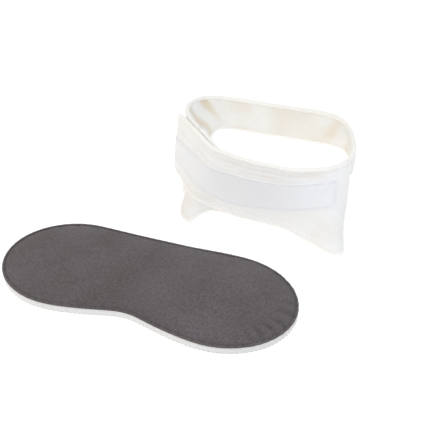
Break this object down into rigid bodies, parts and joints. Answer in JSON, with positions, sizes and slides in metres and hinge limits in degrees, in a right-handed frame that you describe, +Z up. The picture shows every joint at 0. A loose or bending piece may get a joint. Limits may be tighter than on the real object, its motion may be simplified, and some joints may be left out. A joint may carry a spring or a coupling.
{
  "type": "sleep eye mask",
  "caption": "Contoured eye pad lying flat beside a padded head wrap that closes into a ring with overlapping hook-and-loop wings and stands on two lobes.",
  "frame": {"origin": "middle of the object's footprint, on the surface it lies on", "axes": "+X along the pad's long axis, +Y from the pad towards the wrap, +Z up"},
  "size_m": [0.2335, 0.219, 0.067],
  "materials": {
    "cream_cloth": "matt knit",
    "cream_edge": "soft rolled edge",
    "lining_cloth": "smooth knit",
    "foam": "open-cell padding",
    "loop_pile": "brushed loop pile",
    "hook_tape": "moulded hooks on tape",
    "charcoal_cloth": "matt weave",
    "charcoal_edge": "rolled seam",
    "white_cloth": "plain weave"
  },
  "bodies": {
    "strap": {"strap_shell": "cream_cloth", "strap_padding": "foam", "strap_lining": "lining_cloth", "strap_top_edge": "cream_edge", "strap_bottom_edge": "cream_edge"},
    "outer_wing": {"outer_wing_shell": "cream_cloth", "outer_wing_padding": "foam", "outer_wing_lining": "lining_cloth", "outer_wing_edge": "cream_edge", "outer_loop_strip": "loop_pile", "hook_patch": "hook_tape"},
    "inner_wing": {"inner_wing_shell": "cream_cloth", "inner_wing_padding": "foam", "inner_wing_lining": "lining_cloth", "inner_wing_edge": "cream_edge", "inner_loop_strip": "loop_pile"},
    "eye_pad": {"pad_face": "charcoal_cloth", "pad_edge_roll": "charcoal_edge", "pad_filling": "foam", "pad_side_band": "white_cloth", "pad_backing": "white_cloth"}
  },
  "joints": [
    {"name": "outer_wing_swing", "type": "hinge", "parent": "strap", "child": "outer_wing", "pos_m": [0.11675, 0.0385, 0.0335], "axis": [0, 0, 1], "range_deg": [0, 100]},
    {"name": "inner_wing_swing", "type": "hinge", "parent": "strap", "child": "inner_wing", "pos_m": [-0.01318, 0.0425, 0.0335], "axis": [0, 0, 1], "range_deg": [0, 30]},
    {"name": "pad_lift", "type": "slide", "parent": "strap", "child": "eye_pad", "axis": [0, 0, 1], "range_m": [0, 0.12]}
  ]
}
